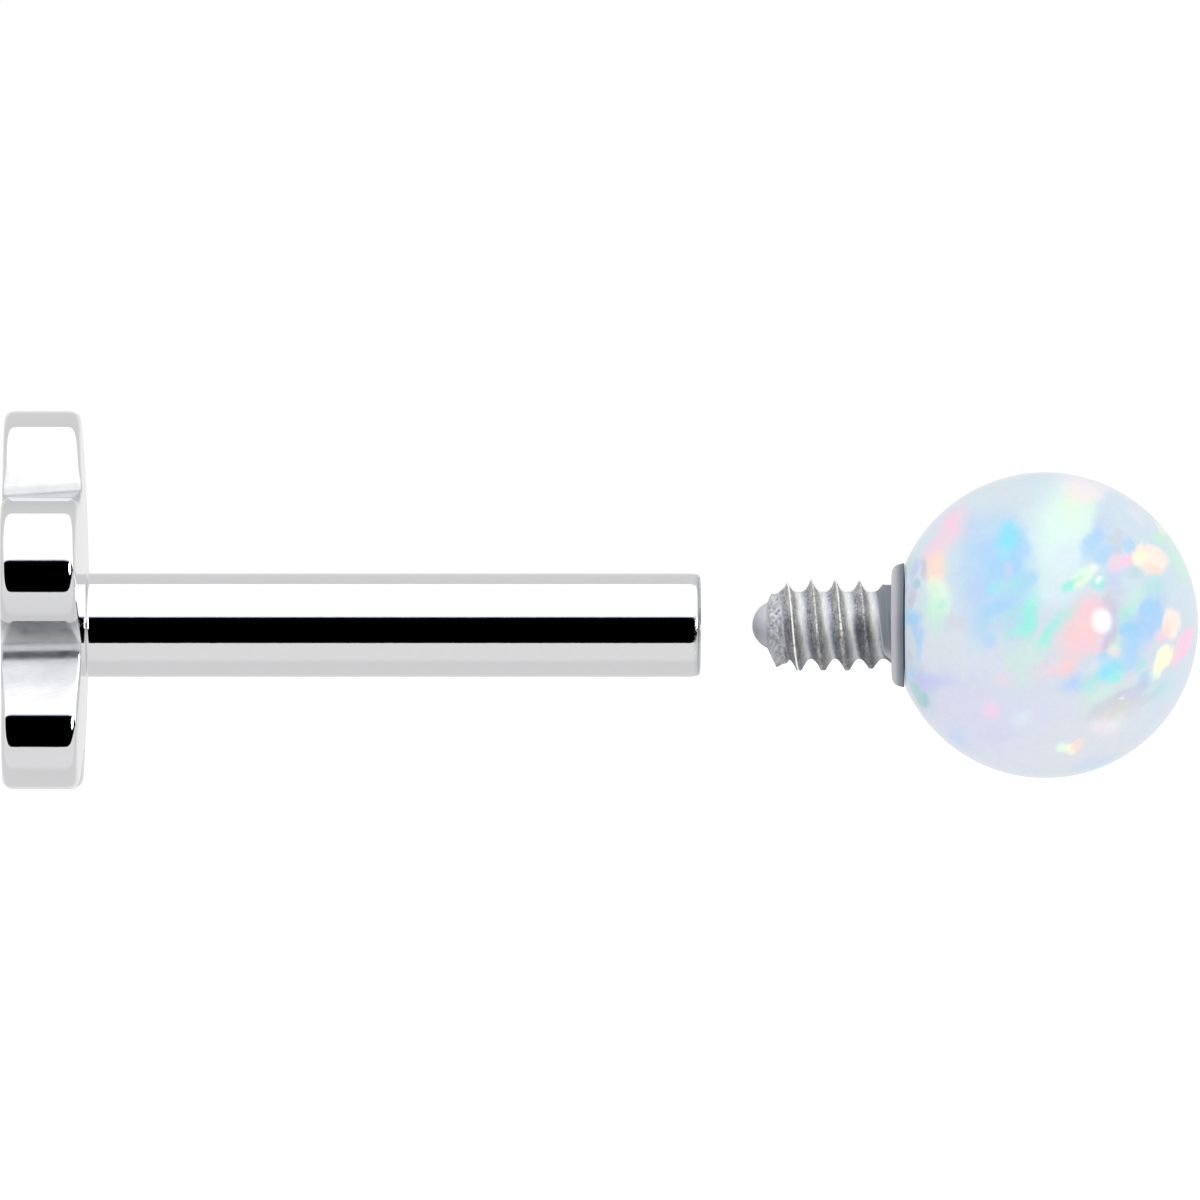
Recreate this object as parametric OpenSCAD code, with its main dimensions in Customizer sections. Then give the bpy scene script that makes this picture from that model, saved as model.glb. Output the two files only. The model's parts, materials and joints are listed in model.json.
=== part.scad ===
// Flat back stud, unscrewed: a star-shaped flat back with its post, and a ball end apart from it.
// Everything lies along one level axis. The back is on the left, at -X, and one arm of the star
// points up, so the stud rests on two arms. The origin is under the middle, on the surface.

/* [Flat back] */
// Distance from the star's centre to the tip of an arm
star_r = 1.98; // [1.6:0.01:2.4]
// Radius of the round tip of each arm
tip_r = 0.635; // [0.5:0.005:0.7]
// Angle between an arm's flanks and its middle line
flank_a = 18; // [14:1:22]
// Radius in the crease between two arms
crease_r = 0.07; // [0.03:0.01:0.15]
// Thickness of the plate at its middle
plate_t = 0.82; // [0.6:0.01:1]
// Radius of the slight dome on the side that faces the skin
dome_r = 25; // [15:1:60]
// Radius of the worn corner at the tips, on both faces
corner_r = 0.06; // [0.02:0.01:0.1]
// How far the post sits below the star's centre
post_drop = 0.12; // [0:0.01:0.2]

/* [Post] */
// Diameter of the post, 18 gauge
post_d = 1.02; // [1:0.01:1.2]
// Length of the post from the plate to its end
post_l = 6; // [5:0.5:12]
// Radius of the rounded end of the post
end_r = 0.1; // [0.06:0.01:0.12]
// Radius of the solder fillet at the foot of the post
solder_r = 0.05; // [0.02:0.01:0.1]
// Diameter of the bore, just clear of the thread
bore_d = 0.91; // [0.905:0.005:0.94]
// Depth of the bore, without the drill's point
bore_l = 1.6; // [1.45:0.05:2.5]

/* [Ball end] */
// Diameter of the ball
ball_d = 3; // [2.5:0.1:4]
// Diameter of the collar, and of the ball's flat on it
collar_d = 1.22; // [1.1:0.01:1.3]
// Thickness of the collar
collar_t = 0.14; // [0.12:0.01:0.2]
// Length of the stem from its nose to the collar
stem_l = 1.35; // [1.2:0.01:1.4]
// Outer diameter of the thread
thread_d = 0.89; // [0.84:0.005:0.89]
// Diameter at the root of the thread
root_d = 0.66; // [0.6:0.01:0.7]
// Pitch of the thread
pitch = 0.236; // [0.22:0.002:0.25]
// Radius of the round nose
nose_r = 0.245; // [0.2:0.005:0.28]
// Diameter of the peg inside the ball
peg_d = 0.6; // [0.4:0.05:0.8]
// Length of the peg inside the ball
peg_l = 1; // [0.6:0.1:1.5]

/* [Layout] */
// Space between the post's end and the stem's nose
apart = 0.51; // [0.1:0.01:2]

/* [Hidden] */
$fn = 96;

// Star: five arms, each a round tip between two straight flanks
arms = 5;
arm_a = 360 / arms;
half_a = arm_a / 2;
valley_a = half_a + flank_a;
tip_c = star_r - tip_r;
valley_r = (tip_c * sin(flank_a) + tip_r) / sin(valley_a);
crease_c = valley_r + crease_r / sin(valley_a);
crease_steps = 5;

// How far the blank's rim lies outside the arms' tips
blank_over = 0.02;
corner_steps = 3;
dome_steps = 8;
// How far a shape that cuts runs past what it cuts
over = 0.1;

post_r = post_d / 2;
// The solder fillet's foot is sunk a little into the dome
solder_sink = 0.01;
// Angle between a drill's point and its axis
drill_a = 59;

ball_r = ball_d / 2;
collar_r = collar_d / 2;
collar_round = 0.06;
seat_to_centre = sqrt(ball_r * ball_r - collar_r * collar_r);
// Space left between the ball and the metal that it is cemented to
cement = 0.01;

root_r = root_d / 2;
crest_h = (thread_d - root_d) / 2;
// Half section of the thread from crest to root: place as a share of the pitch, share of its height
THREAD = [[0.06, 1], [0.15, 0.6], [0.24, 0.2], [0.34, 0]];
// Where the first crest lies at the bottom of the stem, measured from the nose
first_crest = 0.225;
// The thread runs out inside the collar, over a little more than its last turn
fade_a = 400;
fade_end_a = 360 * (stem_l + collar_t / 2 - first_crest) / pitch;
// The bar begins ahead of the nose, and it has a ring of points at every step of its angle
bar_start_a = -420;
ring_a = 12;
rings_a_turn = 360 / ring_a;
// The turned end behind the round nose is a steep cone: rise in radius per length
cone_rise = 2.1;
cone_from = 0.157;
cone_r = 0.8;

// Heights and places along the axis
star_up = tip_c * cos(half_a) + tip_r;
axis_up = star_up - post_drop;
nose_at = post_l + apart;
collar_at = nose_at + stem_l;
seat_at = collar_at + collar_t + cement;
centre_at = seat_at + seat_to_centre;
plate_at = -(centre_at + ball_r - plate_t) / 2;

// Turns a part drawn up the Z axis to lie along +X, with Z = 0 at the plate's skin side
module along_post() {
    translate([plate_at, 0, axis_up])
        rotate([0, 90, 0])
            children();
}

// Points of an arc round centre c, from one angle to another
function arc(c, r, from, to, steps) =
    [for (i = [0:steps]) let (a = from + (to - from) * i / steps) c + r * [cos(a), sin(a)]];

// Outline of the star, one arm along -X, so that it points up once it lies along the post
module star_outline() {
    turns = [for (k = [0:arms - 1]) 180 + k * arm_a];
    function at(r, a) = r * [cos(a), sin(a)];
    // Angles from an arm's middle line: where its round tip ends, and the ends of the crease after it
    tip_end = 90 - flank_a;
    crease_from = 180 + tip_end;
    crease_to = 180 + arm_a - tip_end;
    polygon([
        for (a = turns)
            each concat(
                [for (side = [-1, 1]) at(tip_c, a) + at(tip_r, a + side * tip_end)],
                arc(at(crease_c, a + half_a), crease_r, a + crease_from, a + crease_to, crease_steps)
            )
    ]);
    for (a = turns)
        translate(at(tip_c, a))
            circle(tip_r);
}

// Height of the dome at distance r from the star's centre, above the outer face
function dome_h(r) = plate_t - dome_r + sqrt(dome_r * dome_r - r * r);

// Half section of the worn blank that the star is cut from: flat outside, domed on the skin side
module blank_section() {
    round = corner_r + blank_over;
    rim = star_r + blank_over - round;
    polygon(concat(
        [[0, 0]],
        arc([rim, round], round, -90, 0, corner_steps),
        arc([rim, dome_h(rim) - round], round, 0, 90, corner_steps),
        [for (i = [dome_steps - 1:-1:0]) let (r = rim * i / dome_steps) [r, dome_h(r)]]
    ));
}

module star_plate() {
    translate([-post_drop, 0, -plate_t])
        intersection() {
            translate([0, 0, -over])
                linear_extrude(plate_t + 2 * over)
                    star_outline();
            rotate_extrude()
                blank_section();
        }
}

// Half section of the post, with its rounded end and the solder fillet at its foot
module post_section() {
    foot = plate_t / 2;
    translate([0, -foot])
        square([post_r, foot + post_l - end_r]);
    square([post_r - end_r, post_l]);
    translate([post_r - end_r, post_l - end_r])
        circle(end_r);
    difference() {
        translate([0, -foot])
            square([post_r + solder_r, foot + solder_r - solder_sink]);
        translate([post_r + solder_r, solder_r - solder_sink])
            circle(solder_r);
    }
}

module bore() {
    bore_r = bore_d / 2;
    point_l = bore_r / tan(drill_a);
    translate([0, 0, post_l - bore_l])
        cylinder(r = bore_r, h = bore_l + end_r);
    translate([0, 0, post_l - bore_l - point_l])
        cylinder(r1 = 0, r2 = bore_r, h = point_l);
}

module star_back_post() {
    color("silver")
        along_post()
            difference() {
                union() {
                    star_plate();
                    rotate_extrude()
                        post_section();
                }
                bore();
            }
}

// Points of the thread along one pitch, in the plane through the axis at angle a from the bottom
function thread_ring(a) =
    let (
        full = max(0, min(1, (fade_end_a - a) / fade_a)),
        section = concat(
            [[-THREAD[0].x, THREAD[0].y]],
            THREAD,
            [for (k = [len(THREAD) - 1:-1:1]) [1 - THREAD[k].x, THREAD[k].y]]
        )
    )
    [
        for (p = section)
            let (r = root_r + full * p.y * crest_h)
            [r * cos(a), r * sin(a), first_crest + pitch * (a / 360 + p.x)]
    ];

// A bar with a thread all along it: one strip wound round, each turn joined to the next
module threaded_bar() {
    rings = [for (a = [bar_start_a:ring_a:fade_end_a + ring_a]) thread_ring(a)];
    n = len(rings[0]);
    last = len(rings) - 1;
    low = n * len(rings);
    high = low + 1;
    // Point k of ring i; past the ring's last point comes the first point of the next turn
    function at(i, k) = k < n ? i * n + k : (i + rings_a_turn) * n;
    polyhedron(
        points = concat(
            [for (ring = rings) each ring],
            [[0, 0, rings[0][0].z - pitch], [0, 0, rings[last][n - 1].z + pitch]]
        ),
        faces = concat(
            [
                for (i = [0:last - 1])
                    for (k = [0:n - 1])
                        if (at(i + 1, k + 1) < low)
                            each [
                                [at(i, k), at(i + 1, k + 1), at(i + 1, k)],
                                [at(i, k), at(i, k + 1), at(i + 1, k + 1)]
                            ]
            ],
            [for (i = [0:rings_a_turn - 1]) [low, at(i, 0), at(i + 1, 0)]],
            [for (k = [0:n - 1]) [low, at(0, k + 1), at(0, k)]],
            [for (i = [last - rings_a_turn:last - 1]) [high, at(i + 1, n - 1), at(i, n - 1)]],
            [for (k = [1:n - 1]) [high, at(last, k - 1), at(last, k)]],
            [[high, at(last - rings_a_turn, n - 1), at(last, 0)]]
        )
    );
}

// The threaded rod, cut to a steep cone at its nose end and ending inside the collar
module threaded_rod() {
    cone_start = cone_from - nose_r / cone_rise;
    intersection() {
        threaded_bar();
        rotate_extrude()
            polygon([
                [0, cone_start],
                [cone_r, cone_start + cone_r / cone_rise],
                [cone_r, stem_l + collar_t / 2],
                [0, stem_l + collar_t / 2]
            ]);
    }
}

module threaded_stem() {
    color("darkgray")
        along_post()
            translate([0, 0, nose_at]) {
                translate([0, 0, nose_r])
                    sphere(nose_r);
                threaded_rod();
                translate([0, 0, stem_l])
                    rotate_extrude() {
                        square([collar_r - collar_round, collar_t]);
                        translate([0, collar_round])
                            square([collar_r, collar_t - collar_round]);
                        translate([collar_r - collar_round, collar_round])
                            circle(collar_round);
                    }
                translate([0, 0, stem_l])
                    cylinder(d = peg_d, h = collar_t + peg_l);
            }
}

module opal_ball() {
    color("aliceblue")
        along_post()
            difference() {
                translate([0, 0, centre_at])
                    sphere(ball_r);
                translate([0, 0, seat_at - ball_r])
                    cylinder(r = ball_r, h = ball_r);
                translate([0, 0, seat_at - cement])
                    cylinder(r = peg_d / 2 + cement, h = peg_l + 2 * cement);
            }
}

star_back_post();
threaded_stem();
opal_ball();
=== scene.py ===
import json
import math

import bpy
import numpy as np
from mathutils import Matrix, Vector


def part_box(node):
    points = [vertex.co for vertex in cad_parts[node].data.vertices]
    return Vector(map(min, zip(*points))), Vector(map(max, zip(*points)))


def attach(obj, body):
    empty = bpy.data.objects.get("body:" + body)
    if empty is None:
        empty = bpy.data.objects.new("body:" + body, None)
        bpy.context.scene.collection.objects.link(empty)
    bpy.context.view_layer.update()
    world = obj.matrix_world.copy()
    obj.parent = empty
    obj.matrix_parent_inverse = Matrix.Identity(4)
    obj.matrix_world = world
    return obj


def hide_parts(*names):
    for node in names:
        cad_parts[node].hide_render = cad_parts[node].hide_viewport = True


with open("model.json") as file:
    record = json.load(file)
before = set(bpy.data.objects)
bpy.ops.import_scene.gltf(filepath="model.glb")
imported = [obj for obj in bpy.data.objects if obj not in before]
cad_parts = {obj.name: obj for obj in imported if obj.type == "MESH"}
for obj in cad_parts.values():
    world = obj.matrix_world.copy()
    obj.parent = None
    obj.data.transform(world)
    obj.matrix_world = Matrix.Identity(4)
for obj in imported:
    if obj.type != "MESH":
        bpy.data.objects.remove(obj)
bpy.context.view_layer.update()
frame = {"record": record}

# Looks of an unscrewed flat back stud: a polished star-shaped back with its post, a turned and
# threaded stem, and an opal ball. Lengths are in millimetres until a mesh is made from them.

MM = 0.001

# Places and sizes that come from the frame
mounts = {m["name"]: m for m in frame["record"]["mounts"]}
back_low, back_high = [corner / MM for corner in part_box("star_back_post")]
stem_low, stem_high = [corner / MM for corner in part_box("threaded_stem")]
ball_low, ball_high = [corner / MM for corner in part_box("opal_ball")]
AXIS_Z = mounts["post"]["pos_m"][2] / MM
STAR_Z = mounts["flat_back"]["pos_m"][2] / MM
POST_R = mounts["post"]["dims"]["r_mm"]
BORE_R = mounts["threaded_bore"]["dims"]["r_mm"]
PLATE_OUT = back_low.x
NOSE_X = stem_low.x
PEG_END = stem_high.x
BALL_R = (ball_high.z - ball_low.z) / 2
BALL_X = ball_high.x - BALL_R

# Star
ARMS = 5
ARM_TURN = 2 * math.pi / ARMS
STAR_R = back_high.z - STAR_Z
# Radius of the arms' round tips on both sides of each valley, from the top arm towards the camera
# and on round: the star is cut and polished by hand, so its valleys differ a little
TIP_RADII = (0.75, 0.625, 0.63, 0.64, 0.66)
# How far each valley's crease is moved up, and how much higher it is on the skin side
CREASE_LIFT = (0.035, 0.035, 0.0, 0.0, 0.0)
CREASE_LEAN = (0.055, 0.015, 0.0, 0.0, -0.02)
# Radius in each crease, and how much painted shade the steel of most creases has
CREASE_RADII = (0.08, 0.17, 0.17, 0.17, 0.12)
CREASE_SHADE = 0.34
# Angle between an arm's flanks and its middle line
FLANK = math.radians(18)
# Thickness of the plate at its middle, and radius of the dome on its skin side
PLATE_T = 0.82
DOME_R = 25.0
# The wall's worn edges at the crease and at the tips: how wide each is, and how deep
OUTER_WIDE = (0.05, 0.16)
OUTER_DEEP = (0.03, 0.09)
INNER_WIDE = (0.05, 0.18)
INNER_DEEP = (0.03, 0.1)
# How satin the outer face and the domed face are
OUTER_SATIN = 0.9
DOME_SATIN = 0.12
# How slowly the edges begin to bend: 2 would be a quarter of an ellipse
EDGE_POWER = 3.7

# Post, and the solder round its foot
POST_L = 6.0
POST_END = PLATE_OUT + PLATE_T + POST_L
SOLDER_R = 0.03
# The post's end: a long, slight round up to an angle, then a small round, then the bore's lip
TAPER_L = 0.075
TAPER = math.radians(15)
END_R = 0.045
LIP_R = 0.01
# How satin the worn end is and how much darker it is painted, and how satin the bore is
END_SATIN = 0.6
END_DARKENING = 0.5
BORE_SATIN = 0.5
# Depth of the bore, and angle between the drill's point and its axis
BORE_END = 1.6
DRILL = math.radians(59)
# Pitch of the thread, and depth of its groove in the bore
PITCH = 0.236
GROOVE = 0.02

# Stem, measured from the nose's end: the thread, then the bar in front of it
THREAD_R = 0.445
ROOT_R = 0.33
FIRST_CREST = 0.224
FRONT_R = 0.304
# Round nose, and the steep cone behind it: its rise in radius per length, where it is as wide as
# the nose, and where the two meet
NOSE_R = 0.245
CONE_RISE = 2.1
CONE_FROM = 0.157
CONE_START = CONE_FROM - NOSE_R / CONE_RISE
NOSE_MEET = 0.147
# The thread's first turn has a ledge before it at the bottom
LEDGE_H = 0.045
LEDGE_END = 0.335
# The last turn is flat-topped, from so many turns after the first crest, with a plain band
PLATEAU_R = 0.397
PLATEAU_FROM = 3.93
BAND_FROM = 3.6
BAND_SHADE = 0.74
# Height of the tool's marks on the thread, and of the grit on the frosty cone
TOOL_MARKS = 0.0015
GRIT = 0.007
# Collar, and the peg inside the ball
COLLAR_FACE = 1.366
COLLAR_END = 1.49
COLLAR_R = 0.61
PEG_R = 0.3

# Ball: its flat on the collar, and its hole for the peg
FLAT_R = 0.61
HOLE_R = 0.31

AHEAD = np.array([1.0, 0.0, 0.0])


def smooth(x):
    """Smooth step from 0 to 1 as x goes from 0 to 1."""
    x = np.clip(x, 0.0, 1.0)
    return x * x * (3 - 2 * x)


def lerp(a, b, t):
    return a + (b - a) * t


def shares(steps):
    """Shares of the way at the end of each of so many steps."""
    return [k / steps for k in range(1, steps + 1)]


def ripple(u, v, seed, count, pace):
    """Smooth unevenness between about -1 and 1 over two coordinates, the same on each run."""
    draw = np.random.default_rng(seed)
    places = draw.uniform(-pace, pace, (count, 2))
    phases = draw.uniform(0, 2 * math.pi, count)
    total = np.zeros(np.broadcast(u, v).shape)
    for (a, b), phase in zip(places, phases):
        total = total + np.sin(a * u + b * v + phase)
    return total / math.sqrt(count * 2)


def add_piece(name, points, faces, material):
    """Makes a mesh from points in metres and puts it in the scene."""
    mesh = bpy.data.meshes.new(name)
    mesh.from_pydata(points, [], faces)
    mesh.materials.append(material)
    piece = bpy.data.objects.new(name, mesh)
    bpy.context.scene.collection.objects.link(piece)
    return piece


def joined(rings):
    """The rows of all rings, where the first and the last ring are each one point."""
    return np.concatenate([rings[0][:1], *rings[1:-1], rings[-1][:1]])


class Skin:
    """Rings of points with their normals and marks, joined into one closed surface."""

    def __init__(self, count, **usual):
        self.count = count
        self.usual = usual
        self.points = []
        self.normals = []
        self.marks = {}

    def ring(self, points, normals=None, **marks):
        self.points.append(np.broadcast_to(points, (self.count, 3)))
        if normals is not None:
            self.normals.append(np.broadcast_to(normals, (self.count, 3)))
        for name, value in {**self.usual, **marks}.items():
            self.marks.setdefault(name, []).append(np.broadcast_to(value, self.count))

    def build(self, name, slot, body, material, *nodes):
        """Closes the surface at its first and last point, and makes the piece."""
        n = self.count
        points = joined(self.points)
        last = len(points) - 1
        around = [(i, (i + 1) % n) for i in range(n)]
        faces = [(0, 1 + j, 1 + i) for i, j in around]
        faces += [(last, last - n + i, last - n + j) for i, j in around]
        for a in range(1, last - n, n):
            faces += [(a + i, a + j, a + n + j, a + n + i) for i, j in around]
        piece = add_piece(name, (points * MM).tolist(), faces, material)
        mesh = piece.data
        mesh.shade_smooth()
        for mark, values in self.marks.items():
            layer = mesh.attributes.new(mark, "FLOAT", "POINT")
            layer.data.foreach_set("value", joined(values).astype(np.float32))
        if self.normals:
            mesh.normals_split_custom_set_from_vertices(joined(self.normals).tolist())
        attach(piece, body)
        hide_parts(*nodes)
        return piece


class Shader:
    """A node tree with short calls to add and join nodes."""

    def __init__(self, tree):
        self.tree = tree
        tree.nodes.clear()

    def add(self, kind, inputs=None, **settings):
        node = self.tree.nodes.new(kind)
        for key, value in settings.items():
            setattr(node, key, value)
        for key, value in (inputs or {}).items():
            self.put(node.inputs[key], value)
        return node

    def put(self, socket, value):
        if isinstance(value, bpy.types.NodeSocket):
            self.tree.links.new(value, socket)
        else:
            socket.default_value = value

    def math(self, operation, a, b=0.0, c=0.0):
        return self.add("ShaderNodeMath", {0: a, 1: b, 2: c}, operation=operation).outputs[0]

    def times(self, a, b):
        return self.math("MULTIPLY", a, b)

    def vector(self, operation, a, b):
        node = self.add("ShaderNodeVectorMath", {0: a, 1: b}, operation=operation)
        return node.outputs["Value" if operation == "DOT_PRODUCT" else "Vector"]

    def step(self, value, low, high, to_low=0.0, to_high=1.0, shape="SMOOTHSTEP"):
        ends = {"From Min": low, "From Max": high, "To Min": to_low, "To Max": to_high}
        node = self.add("ShaderNodeMapRange", {"Value": value, **ends}, interpolation_type=shape)
        return node.outputs["Result"]

    def mix(self, share, a, b, blend="MIX"):
        """A mix of two colours, which are the node's inputs 6 and 7."""
        node = self.add("ShaderNodeMix", {0: share, 6: a, 7: b}, data_type="RGBA", blend_type=blend)
        return node.outputs[2]

    def noise(self, where, scale, detail=3.0, roughness=0.5, output="Fac"):
        values = {"Vector": where, "Scale": scale, "Detail": detail, "Roughness": roughness}
        return self.add("ShaderNodeTexNoise", values).outputs[output]

    def brushed(self, where, scales, detail, roughness):
        """Noise with its own scale in each direction."""
        return self.noise(self.vector("MULTIPLY", where, scales), 1.0, detail, roughness)

    def attribute(self, name, output="Fac"):
        return self.add("ShaderNodeAttribute", attribute_name=name).outputs[output]

    def ramp(self, value, stops):
        node = self.add("ShaderNodeValToRGB", {"Fac": value})
        marks = node.color_ramp.elements
        while len(marks) > 1:
            marks.remove(marks[-1])
        marks[0].position, marks[0].color = stops[0]
        for place, tone in stops[1:]:
            marks.new(place).color = tone
        return node.outputs["Color"]

    def grey(self, value):
        node = self.add("ShaderNodeCombineColor", {"Red": value, "Green": value, "Blue": value})
        return node.outputs["Color"]

    def shaded(self, tone, share):
        return self.mix(1.0, tone, self.grey(share), "MULTIPLY")

    def bump(self, surface, strength, distance, height):
        values = {"Strength": strength, "Distance": distance, "Height": height}
        self.put(surface.inputs["Normal"], self.add("ShaderNodeBump", values).outputs["Normal"])


def linear(value):
    """Linear light for a display value from 0 to 255."""
    s = value / 255
    return s / 12.92 if s <= 0.04045 else ((s + 0.055) / 1.055) ** 2.4


def three(tone):
    """Display values of a tone, which is given as one number for grey or as three."""
    return (tone, tone, tone) if isinstance(tone, (int, float)) else tone


def color(tone):
    """RGBA in linear light from display values, of which those past 255 are brighter than white."""
    return (*[linear(v) if v <= 255 else v / 255 for v in three(tone)], 1.0)


def lit(tone, light):
    """Surface colour that shows as this display colour under so much light."""
    return (*[linear(v) / light for v in three(tone)], 1.0)


def steel(tone):
    """Surface colour of the turned steel that shows as about this tone."""
    return lit(tone, STEEL_LIGHT)


def steel_ramp(shader, value, stops):
    return shader.ramp(value, [(place, steel(tone)) for place, tone in stops])


def new_material(name, **values):
    """A material with these values on its surface, given by their names with _ for a space."""
    material = bpy.data.materials.new(name)
    material.use_nodes = True
    shader = Shader(material.node_tree)
    values = {key.replace("_", " "): value for key, value in values.items()}
    surface = shader.add("ShaderNodeBsdfPrincipled", values)
    out = shader.add("ShaderNodeOutputMaterial")
    shader.put(out.inputs["Surface"], surface.outputs["BSDF"])
    return material, shader, surface, shader.add("ShaderNodeTexCoord").outputs["Object"]


# Light on matt surfaces, and how bright the turned steel and the opal show for a colour of 1
AMBIENT = 1.25
STEEL_LIGHT = 1.12
OPAL_LIGHT = 1.2
# Tones of the polished steel: faint clouds in its mirror, brushed flats, and its painted bluish shade
MIRROR_TONES = (234, (239, 239, 242))
BRUSHED_TONES = ((237, 237, 239), (245, 245, 246))
DARKENING_TONE = (117, 123, 137)


def polished_steel():
    """Mirror polish on the rounds, a satin, slightly mottled finish on the flats between them, and
    painted shade.
    """
    material, shader, surface, place = new_material("polished_steel", Metallic=1.0)
    satin = shader.attribute("satin")
    dull = shader.attribute("dull")
    blotches = shader.noise(place, 9000, 4, 0.6)
    grain = shader.brushed(place, (12000, 60000, 60000), 3, 0.6)
    haze = shader.step(blotches, 0.35, 0.65, 0.75, 1.2, "LINEAR")
    rough = shader.math("MULTIPLY_ADD", shader.times(satin, haze), 0.34, 0.03)
    mirror = shader.mix(blotches, *[color(tone) for tone in MIRROR_TONES])
    flat = shader.mix(shader.step(grain, 0.3, 0.7), *[color(tone) for tone in BRUSHED_TONES])
    tone = shader.mix(satin, mirror, flat)
    # Painted bluish shade in the creases and round the near arm, and the post's end painted darker
    shader.put(surface.inputs["Base Color"], shader.mix(dull, tone, color(DARKENING_TONE)))
    shader.put(surface.inputs["Roughness"], rough)
    wear = shader.math("MULTIPLY_ADD", satin, 0.35, 0.04)
    shader.bump(surface, wear, 2e-6, shader.math("ADD", blotches, grain))
    return material


# Tones of the turned steel from one crest of the thread to the next, near the top and, painted darker,
# near the bottom: painted shade on the flanks, bluish on the side away from the ball, and painted light
# on the round roots between them
THREAD_TOP = [
    (0.0, 196), (0.1, 162), (0.2, 184), (0.28, 218), (0.38, 246), (0.48, 240), (0.57, (208, 213, 224)),
    (0.66, (166, 173, 187)), (0.76, 162), (0.88, 178), (1.0, 196),
]
THREAD_LOW = [
    (0.0, 150), (0.1, 128), (0.2, 142), (0.32, 186), (0.42, 214), (0.5, (200, 203, 211)),
    (0.58, (152, 158, 172)), (0.68, (112, 118, 133)), (0.8, 124), (0.9, 132), (1.0, 150),
]
# Flanks with more painted shade: middle and reach in turns of the thread, and strength halfway up and
# at the bottom
DARK_FLANKS = ((0.8, 0.26, 0.4, 0.0), (3.84, 0.42, 0.45, 0.3))
DARKEST = (34, 38, 50)
# Tones of the nose halfway up and at the bottom, where it is painted darker as shade
NOSE_TONES = ((207, 211, 219), (174, 176, 182))
# Tones of the collar from its face to the ball, painted darker towards the ball as shade
COLLAR_TONES = [
    (0.0, (200, 199, 203)), (0.33, (176, 176, 181)), (0.66, (143, 147, 156)), (1.0, (108, 118, 135)),
]
# Tones of the frosty ring behind the nose: its grey crystals and their painted glints, and the painted
# shade that darkens them at the bottom
FROST_TONES = ((156, 159, 167), (240, 241, 243))
FROST_LOW = 140
# Half width of the painted highlight along the thread's crests, in turns
CREST_HIGHLIGHT_WIDTH = 0.045


def thread_turns(shader, place):
    """Turns of the thread from its first crest to each point."""
    parts = shader.add("ShaderNodeSeparateXYZ", {"Vector": place}).outputs
    first = -(NOSE_X + FIRST_CREST) / PITCH
    along = shader.math("MULTIPLY_ADD", parts["X"], 1 / (PITCH * MM), first)
    down = shader.math("SUBTRACT", AXIS_Z * MM, parts["Z"])
    round_it = shader.times(shader.math("ARCTAN2", parts["Y"], down), 1 / (2 * math.pi))
    return shader.math("SUBTRACT", along, round_it)


def thread_tone(shader, place, turns, low, grain, speckle):
    """Painted light on the roots and painted shade on the flanks and towards the bottom, with fine
    streaks, and with flecks that the tool tore out.
    """
    ragged = shader.math("MULTIPLY_ADD", shader.noise(place, 16000, 4, 0.7), 0.22, -0.11)
    phase = shader.math("FRACT", shader.math("ADD", turns, ragged))
    tone = shader.mix(low, *[steel_ramp(shader, phase, stops) for stops in (THREAD_TOP, THREAD_LOW)])
    tone = shader.shaded(tone, shader.step(grain, 0.25, 0.75, 0.8, 1.16, "LINEAR"))
    on_flank = shader.step(shader.math("ABSOLUTE", shader.math("SUBTRACT", phase, 0.42)), 0.14, 0.3)
    fleck = shader.step(speckle, 0.34, 0.66, 0.5, 1.45, "LINEAR")
    tear = shader.brushed(place, (26000, 9000, 9000), 4, 0.65)
    fleck = shader.times(fleck, shader.step(tear, 0.36, 0.64, 0.72, 1.28, "LINEAR"))
    tone = shader.mix(on_flank, tone, shader.shaded(tone, fleck))
    # Some flanks get more painted shade: those before the last turn, and on the camera's side the first
    halfway = shader.times(shader.times(low, shader.math("SUBTRACT", 1.0, low)), 4.0)
    for middle, reach, at_mid, at_low in DARK_FLANKS:
        away = shader.math("ABSOLUTE", shader.math("SUBTRACT", turns, middle))
        strength = shader.math("MULTIPLY_ADD", halfway, at_mid, shader.times(low, at_low))
        dark = shader.times(shader.step(away, reach, reach * 0.5), strength)
        tone = shader.mix(dark, tone, steel(DARKEST))
    return tone


def frost_tone(shader, place, low, speckle):
    """Grey crystals of the rough ring behind the nose, some with painted glints, with painted shade at
    the bottom.
    """
    flakes = shader.add("ShaderNodeTexVoronoi", {"Vector": place, "Scale": 34000}).outputs["Color"]
    mixed = shader.math("ADD", flakes, shader.times(speckle, 0.6))
    glint = shader.step(mixed, 0.35, 1.35, 0, 1, "LINEAR")
    frosty = shader.mix(glint, *[steel(tone) for tone in FROST_TONES])
    return shader.mix(low, frosty, shader.mix(0.4, frosty, steel(FROST_LOW)))


def crest_highlight(shader, turns, crest, speckle):
    """Where the painted highlight along the crests shows, broken in places."""
    line = shader.step(shader.math("PINGPONG", turns, 0.5), CREST_HIGHLIGHT_WIDTH, CREST_HIGHLIGHT_WIDTH / 3)
    whole = shader.math("MULTIPLY_ADD", crest, 0.24, speckle)
    return shader.times(line, shader.times(crest, shader.step(whole, 0.54, 0.66)))


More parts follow.
